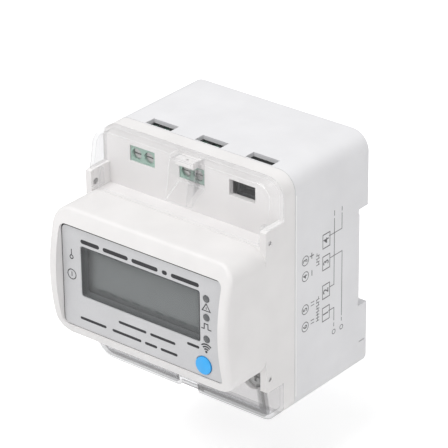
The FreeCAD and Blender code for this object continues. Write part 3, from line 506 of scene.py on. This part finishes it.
class Print:
    """Marks in millimetres on a plane, made as solids that stand barely proud of it."""

    def __init__(self, origin, across, up, sink=0.03, rise=0.02):
        self.sink, self.rise = sink, rise
        self.mesh = bmesh.new()
        self.origin, self.across, self.up = Vector(origin), Vector(across), Vector(up)
        self.out = self.across.cross(self.up)

    def point(self, u, v, height):
        return self.origin + (self.across * u + self.up * v + self.out * height) * MM

    def loop(self, outline, height):
        return [self.mesh.verts.new(self.point(u, v, height)) for u, v in outline]

    def shape(self, outline):
        """One solid from a closed outline."""
        low = self.loop(outline, -self.sink)
        high = self.loop(outline, self.rise)
        self.mesh.faces.new(high)
        self.mesh.faces.new(low[::-1])
        for i in range(len(outline)):
            j = (i + 1) % len(outline)
            self.mesh.faces.new((low[i], low[j], high[j], high[i]))

    def band(self, outer, inner):
        """A closed ring between two outlines with the same number of points."""
        corners = ((outer, self.rise), (inner, self.rise), (inner, -self.sink), (outer, -self.sink))
        bridge(self.mesh, [self.loop(outline, height) for outline, height in corners])

    def bar(self, u, v, width, height):
        w, h = width / 2, height / 2
        self.shape([(u - w, v - h), (u + w, v - h), (u + w, v + h), (u - w, v + h)])

    def stroke(self, points, width):
        """A line through the points as one solid, with mitred bends and square ends."""
        points = [Vector(point) for point in points]
        steps = [(b - a).normalized() for a, b in zip(points, points[1:])]
        points[0] -= steps[0] * width / 2
        points[-1] += steps[-1] * width / 2
        left, right = [], []
        for point, before, after in zip(points, steps[:1] + steps, steps + steps[-1:]):
            aside = Vector((-before.y - after.y, before.x + after.x)) / (1 + before.dot(after)) * width / 2
            left.append(point + aside)
            right.append(point - aside)
        self.shape(right + left[::-1])

    def round(self, u, v, radius, steps=28):
        return sweep(u, v, radius, 0, 360, steps)[:-1]

    def disc(self, u, v, radius):
        self.shape(self.round(u, v, radius))

    def ring(self, u, v, radius, width):
        self.band(self.round(u, v, radius + width / 2), self.round(u, v, radius - width / 2))

    def frame(self, corners, width):
        """Outline of a convex figure, the line lying inside its corners."""
        corners = [Vector(corner) for corner in corners]
        centre = sum(corners, Vector((0, 0))) / len(corners)
        sides = zip(corners, corners[1:] + corners[:1])
        reach = min(abs((b - a).normalized().cross(centre - a)) for a, b in sides)
        self.band(corners, [centre + (corner - centre) * (1 - width / reach) for corner in corners])

    def arc(self, u, v, radius, width, start, end, steps=12):
        outer = sweep(u, v, radius + width / 2, start, end, steps)
        inner = sweep(u, v, radius - width / 2, start, end, steps)
        self.shape(outer + inner[::-1])

    def word(self, start, end, level, height):
        """A stand-in for a printed word: one plain bar with round ends."""
        half = height / 2
        far_end = sweep(end - half, level, half, -90, 90, 6)
        near_end = sweep(start + half, level, half, 90, 270, 6)
        self.shape(far_end + near_end)

    def figures(self, text, u, v, height, turn=0.0):
        """Numerals centred on a point, turned by this many degrees."""
        curve = bpy.data.curves.new("figures", "FONT")
        curve.body = text
        curve.align_x, curve.align_y = "CENTER", "CENTER"
        curve.resolution_u = 3
        curve.offset = 0.012
        curve.extrude = 0.5
        holder = bpy.data.objects.new("figures", curve)
        bpy.context.scene.collection.objects.link(holder)
        bpy.context.view_layer.update()
        solid = holder.evaluated_get(bpy.context.evaluated_depsgraph_get()).to_mesh()
        size = height / FIGURE_HEIGHT
        angle = math.radians(turn)
        for vertex in solid.vertices:
            x, y = vertex.co.x * size, vertex.co.y * size
            vertex.co = self.point(
                u + x * math.cos(angle) - y * math.sin(angle),
                v + x * math.sin(angle) + y * math.cos(angle),
                (vertex.co.z + 0.5) * (self.sink + self.rise) - self.sink,
            )
        others = set(self.mesh.verts)
        self.mesh.from_mesh(solid)
        own = [vertex for vertex in self.mesh.verts if vertex not in others]
        bmesh.ops.remove_doubles(self.mesh, verts=own, dist=1e-7)
        bpy.data.objects.remove(holder)
        bpy.data.curves.remove(curve)

    def finish(self, name, finish, record_slot):
        """Makes the marks a piece on the case."""
        settle(self.mesh, name, finish, "case")


def front_print(depth):
    """Marks on a plane that faces forwards: u runs right, v runs up."""
    return Print((0, depth, 0), (1, 0, 0), (0, 0, 1))


# ------------------------------------------------------------ faceplate's marks
plate_low, plate_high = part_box("faceplate")
lamps = [middle(f"status_led_{n}") for n in (1, 2, 3)]
label = front_print(plate_low.y)

# title and ratings, each word a plain bar: its ends, level and height
TITLE_LEVEL, TITLE = 12.8, 1.45
RATING_LEVELS, RATING = (-11.3, -15.2), 0.95
for start, end in ((-25.3, -17.4), (-15.9, -5.4), (-3.9, 6.9), (8.6, 10.7), (12.3, 23.6)):
    label.word(start, end, TITLE_LEVEL, TITLE)
for start, end in ((-10.0, 1.6), (3.2, 13.6)):
    label.word(start, end, RATING_LEVELS[0], RATING)
for start, end in ((-26.4, -15.3), (-12.8, -0.6), (0.9, 6.0), (7.4, 14.4)):
    label.word(start, end, RATING_LEVELS[1], RATING)
label.word(18.4, 23.4, -9.2, RATING)

# left margin: a lead seal mark and a ringed number
LEFT_MARGIN = -29.4
label.stroke([(LEFT_MARGIN, 8.6), (LEFT_MARGIN, 6.7)], 0.3)
label.ring(LEFT_MARGIN, 5.9, 0.65, 0.35)
label.ring(LEFT_MARGIN - 0.1, -0.4, 1.75, 0.3)
label.figures("1", LEFT_MARGIN - 0.1, -0.4, 1.6)

# right margin, one plain sign under each lamp: a triangle with a bar, a pulse and three arcs
margin = lamps[0].x / MM
label.frame([(margin - 1.9, 4.7), (margin + 1.9, 4.7), (margin, 7.7)], 0.32)
label.bar(margin, 5.75, 0.28, 0.9)
PULSE = [(-1.9, -1.6), (-0.9, -1.6), (-0.9, 0.2), (0.6, 0.2), (0.6, -1.6), (1.8, -1.6)]
label.stroke([(margin + u, v) for u, v in PULSE], 0.34)
arcs_foot = lamps[2].z / MM - 4.7
for radius in (1.15, 2.0, 2.85):
    label.arc(margin - 0.2, arcs_foot, radius, 0.5, 48, 132)
label.disc(margin - 0.2, arcs_foot + 0.15, 0.45)
label.finish("label_print", "print_black", "faceplate_silver")

# painted shadow round the faceplate: a black band standing in for the shadow in its gap, widest along its
# top
left, right, foot, head = (value / MM for value in (plate_low.x, plate_high.x, plate_low.z, plate_high.z))
painted_gap_shadow = front_print(plate_low.y)
painted_gap_shadow.band(
    rounded_outline(left - 0.05, foot - 0.05, right + 0.05, head + 0.05, 2.25),
    rounded_outline(left + 0.14, foot + 0.05, right - 0.14, head - 0.6, 1.9),
)
painted_gap_shadow.finish("faceplate_painted_shadow", "painted_shade_black", "faceplate_silver")

# ----------------------------------------------- wiring sketch on the right wall
# u runs back, v runs up
housing_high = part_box("front_housing")[1]
sketch = Print((housing_high.x, 0, 0), (0, 1, 0), (0, 0, 1))
LINE, BOLD = 0.27, 0.36
BOX_FRONT, BOX_BACK, BOX_HEIGHT = -19.7, -15.7, 5.2
RINGS, SIGNS, WORDS = -28.6, -25.3, -22.1

# numbered terminals of the supply side, and the conductors to them, their cut ends dashed
for number, foot in (("4", 11.0), ("3", 3.2), ("2", -7.2), ("1", -15.4)):
    head = foot + BOX_HEIGHT
    sketch.frame([(BOX_FRONT, foot), (BOX_BACK, foot), (BOX_BACK, head), (BOX_FRONT, head)], LINE)
    sketch.figures(number, (BOX_FRONT + BOX_BACK) / 2, (foot + head) / 2, 2.7, 90)
for route in (
    [(-13.5, 22.4), (-13.5, 20.9)],
    [(-13.5, 19.7), (-13.5, -4.0), (-15.6, -4.0)],
    [(-9.5, 22.4), (-9.5, 21.1)],
    [(-9.5, 20.1), (-9.5, 14.6), (-16.2, 14.6)],
    [(-15.6, 6.5), (-9.3, 6.5), (-9.3, -17.0)],
    [(-9.3, -17.9), (-9.3, -19.0)],
    [(-16.2, -12.5), (-13.4, -12.5), (-13.4, -17.1)],
    [(-13.4, -18.2), (-13.4, -19.3)],
):
    sketch.stroke(route, LINE)
for across in (-13.4, -9.3):
    sketch.ring(across, -21.4, 0.8, LINE)

# ringed numbers of the signal terminals, a plus and a minus, and two pairs of bars
for number, level in (("3", 10.7), ("4", 5.1), ("5", -6.8), ("6", -13.1)):
    sketch.ring(RINGS, level, 1.65, LINE)
    sketch.figures(number, RINGS, level, 2.1, 90)
sketch.bar(SIGNS, 11.2, 2.1, BOLD)
sketch.bar(SIGNS, 11.2, BOLD, 2.1)
sketch.bar(SIGNS + 0.1, 5.0, BOLD, 1.9)
for level in (-6.2, -12.7):
    for shift in (-0.55, 0.55):
        sketch.bar(SIGNS + 0.5, level + shift, 1.8, LINE)

# two words stood in for by plain hatching
for level, high in ((6.6, 10.6), (-13.6, -5.0)):
    while level < high:
        sketch.bar(WORDS, level, 1.7, LINE)
        sketch.bar(WORDS + 0.5 * math.sin(level * 3), level + 0.55, LINE, 0.8)
        level += 1.1
sketch.finish("side_print", "print_grey", "housing_white")

# ------------------------------------------------------------- seams and pivots
# at both ends: a brighter white strip along the seam, a painted highlight, and an eyelet and a grey plug in
# each cover pivot
SEAM, SEAM_HEIGHT = -33.4, 72
PIVOT_DEPTH, PIVOT_LEVEL = -46.7, 24.2
PLUG_SINK = 0.5 * MM
for side, end in ((-1, "left"), (1, "right")):
    across, up = (0, side, 0), (0, 0, 1)
    wall = side * housing_high.x
    highlight_strip = Print((wall, 0, 0), across, up, rise=0.04)
    highlight_strip.bar(side * SEAM, -0.5, 0.55, SEAM_HEIGHT)
    highlight_strip.finish(f"seam_highlight_{end}", "seam_highlight_white", "housing_white")
    eyelet = Print((wall, 0, 0), across, up, sink=0.3)
    plug = Print((wall - side * PLUG_SINK, 0, 0), across, up, sink=0.3)
    for level in (-PIVOT_LEVEL, PIVOT_LEVEL):
        eyelet.ring(side * PIVOT_DEPTH, level, 1.0, 0.5)
        plug.disc(side * PIVOT_DEPTH, level, 0.95)
    eyelet.finish(f"pivot_eyelets_{end}", "housing_white", "housing_white")
    plug.finish(f"pivot_plugs_{end}", "housing_rear", "housing_white")

# ------------------------------------------------------------------ wire slots
# black sheets under the slots stand in for the shade deep inside them, painted shade; two wire holes in
# each, and the spare bay's sheet is blind
BAY_PITCH, SLOT_SHIFT, SLOT_HALF = 20.5, 1.6, 5.23
SLOT_FRONT, SLOT_BACK = -33.38, -29.22
HOLE_FRONT, HOLE_BACK, HOLE_HALF = -32.9, -29.7, 1.3
slot_shade_sheet = Print((0, 0, housing_high.z - 1.5 * MM), (1, 0, 0), (0, 1, 0), sink=0.1)
for bay, terminal in ((-1, "signal_terminal_left"), (0, "signal_terminal_middle")):
    slot = BAY_PITCH * bay + SLOT_SHIFT
    split = middle(terminal).x / MM
    for left, right, wire in (
        (slot - SLOT_HALF, split - 0.01, split - 2.1),
        (split + 0.01, slot + SLOT_HALF, split + 2.54),
    ):
        start, end = wire - HOLE_HALF, wire + HOLE_HALF
        slot_shade_sheet.band(
            [(left, SLOT_FRONT), (right, SLOT_FRONT), (right, SLOT_BACK), (left, SLOT_BACK)],
            [(start, HOLE_FRONT), (end, HOLE_FRONT), (end, HOLE_BACK), (start, HOLE_BACK)],
        )
spare = BAY_PITCH + SLOT_SHIFT
slot_shade_sheet.bar(spare, (SLOT_FRONT + SLOT_BACK) / 2, 2 * SLOT_HALF, SLOT_BACK - SLOT_FRONT)
slot_shade_sheet.finish("slot_painted_shade", "painted_shade_black", "terminal_dark")

# -------------------------------------------------------------------- display
# the window's opening in the faceplate is smaller than the window by its flange
FLANGE_SIDE, FLANGE_END = 1.2, 1.8
panel_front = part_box("lcd_panel")[0].y
opening = (
    window_low.x / MM + FLANGE_SIDE,
    window_low.z / MM + FLANGE_END,
    window_high.x / MM - FLANGE_SIDE,
    window_high.z / MM - FLANGE_END,
)


def tube(outline, thickness, near, far):
    """Mesh of a thin-walled sleeve along Y: outline in millimetres, depths in metres."""
    centre_u = sum(u for u, _ in outline) / len(outline)
    centre_v = sum(v for _, v in outline) / len(outline)
    inner = [
        (u - math.copysign(thickness, u - centre_u), v - math.copysign(thickness, v - centre_v))
        for u, v in outline
    ]
    mesh = bmesh.new()
    rings = ((outline, near), (inner, near), (inner, far), (outline, far))
    bridge(mesh, [[mesh.verts.new((u * MM, depth, v * MM)) for u, v in ring] for ring, depth in rings])
    return mesh


CLEARANCE = 0.03
mask_outline = rounded_outline(
    opening[0] + CLEARANCE, opening[1] + CLEARANCE, opening[2] - CLEARANCE, opening[3] - CLEARANCE, 0.8, 3
)
mask = tube(mask_outline, 0.25, window_low.y + 0.1 * MM, panel_front - 0.02 * MM)
settle(mask, "display_mask", "mask_black", "case")

# row of small unlit signs along the foot of the panel
FLAG_PITCH, FLAG_WIDTH, FLAG_LEVEL = 4.8, 3.0, -4.6
flags = front_print(panel_front)
for index in range(9):
    start = opening[0] + 4.5 + index * FLAG_PITCH
    flags.word(start, start + FLAG_WIDTH, FLAG_LEVEL, 0.8)
flags.finish("display_flags", "segment_dark", "lcd_glass")


# --------------------------------------------------- turned pieces on the face
def lathe(profile, centre, steps=48):
    """Mesh turned about a line along Y.

    The profile lists (radius, depth) in millimetres from one point on the axis to another.
    """
    mesh = bmesh.new()
    rings = []
    for radius, depth in profile:
        points = sweep(centre.x, centre.z, radius * MM, 0, 360, steps)[:-1] if radius else [centre.xz]
        rings.append([mesh.verts.new((u, depth * MM, v)) for u, v in points])
    for ring, following in zip(rings, rings[1:]):
        for i in range(steps):
            j = (i + 1) % steps
            square = ((ring, i), (ring, j), (following, j), (following, i))
            # on the axis a ring is one point, so two corners fall together
            mesh.faces.new(dict.fromkeys(loop[k % len(loop)] for loop, k in square))
    for face in mesh.faces:
        face.smooth = True
    return mesh


def domed(radius, back, front, crown, corner, steps=5):
    """Profile of a cap: flat back, straight wall, rounded corner and a crowned front."""
    flat = radius - corner
    profile = [(0, back), (radius, back), *sweep(flat, front + corner, corner, 0, -90, steps)]
    for i in range(1, steps + 1):
        share = 1 - i / steps
        profile.append((flat * share, front - crown * (1 - share**2)))
    return profile


pipe_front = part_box("led_light_pipes")[0].y / MM
for number, lamp in enumerate(lamps, start=1):
    shape = domed(radius=1.22, back=pipe_front + 0.5, front=pipe_front, crown=0.22, corner=0.08)
    lens = lathe(shape, lamp)
    settle(lens, f"lamp_lens_{number}", "lamp_smoke", "case")

button_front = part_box("mode_button")[0].y / MM
shape = domed(radius=3.06, back=button_front + 0.9, front=button_front - 0.02, crown=0.25, corner=0.4)
cap = lathe(shape, middle("mode_button"))
settle(cap, "mode_button_cap", "button_blue", "mode_button")

# ---------------------------------------------------------- floor and lighting
FLOOR_HALF, FLOOR_DROP = 3, 30 * MM
floor_mesh = bmesh.new()
floor_level = cad_bounds[0].z - FLOOR_DROP
for x, y in ((-1, -1), (1, -1), (1, 1), (-1, 1)):
    floor_mesh.verts.new((x * FLOOR_HALF, y * FLOOR_HALF, floor_level))
floor_mesh.faces.new(floor_mesh.verts)
floor_data = bpy.data.meshes.new("studio_floor")
floor_mesh.to_mesh(floor_data)
floor_mesh.free()
floor = bpy.data.objects.new("studio_floor", floor_data)
bpy.context.scene.collection.objects.link(floor)

pale = Finish("studio_floor", roughness=0.9)
to_camera = pale.add("ShaderNodeLightPath").outputs["Is Camera Ray"]
pale.set(
    pale.shader,
    {
        "Base Color": pale.ramp(pale.noise(400, 2), (0.90, 0.90, 0.905), (0.94, 0.94, 0.94)),
        "Emission Color": (1, 1, 1, 1),
        "Emission Strength": pale.math("MULTIPLY", to_camera, 0.36),
    },
)
floor_data.materials.append(pale.material)

# a white surround, brighter to the camera than as a light
world = bpy.data.worlds.new("studio")
bpy.context.scene.world = world
world.use_nodes = True
sky = world.node_tree.nodes["Background"]
sky.inputs["Color"].default_value = (1.0, 1.0, 1.0, 1)
seen = world.node_tree.nodes.new("ShaderNodeLightPath")
brightness = world.node_tree.nodes.new("ShaderNodeMapRange")
brightness.inputs["To Min"].default_value = 0.6
brightness.inputs["To Max"].default_value = 1.0
world.node_tree.links.new(seen.outputs["Is Camera Ray"], brightness.inputs["Value"])
world.node_tree.links.new(brightness.outputs["Result"], sky.inputs["Strength"])


def soft_light(name, place, energy, size, target=(0, -0.03, 0)):
    data = bpy.data.lights.new(name, "AREA")
    data.energy = energy
    data.shape = "DISK"
    data.size = size
    light = bpy.data.objects.new(name, data)
    light.location = place
    light.rotation_euler = (Vector(target) - Vector(place)).to_track_quat("-Z", "Y").to_euler()
    bpy.context.scene.collection.objects.link(light)


soft_light("key_above", (-0.15, -0.5, 0.98), 7.2, 0.9)
soft_light("fill_right", (0.9, -0.4, 0.35), 0.85, 0.6)
soft_light("rim_back", (0.2, 0.9, 0.6), 1.0, 0.6)

# -------------------------------------------------------------- camera and end
# the camera looks from the front right and above, in degrees round from the front, up, and rolled
CAMERA_PLACE = (0.5113, -0.6482, 0.4197)
AZIMUTH, ELEVATION, ROLL = (math.radians(angle) for angle in (39.31, 26.899, 0.61))
turned = (
    Matrix.Rotation(AZIMUTH, 4, "Z")
    @ Matrix.Rotation(math.pi / 2 - ELEVATION, 4, "X")
    @ Matrix.Rotation(-ROLL, 4, "Z")
)
camera_data = bpy.data.cameras.new("photo_view")
camera_data.lens = 224.46
camera_data.sensor_width = 36.0
camera_data.clip_start = 0.05
camera = bpy.data.objects.new("photo_view", camera_data)
camera.matrix_world = Matrix.Translation(CAMERA_PLACE) @ turned
bpy.context.scene.collection.objects.link(camera)
bpy.context.scene.camera = camera
bpy.context.scene.view_settings.view_transform = "Standard"
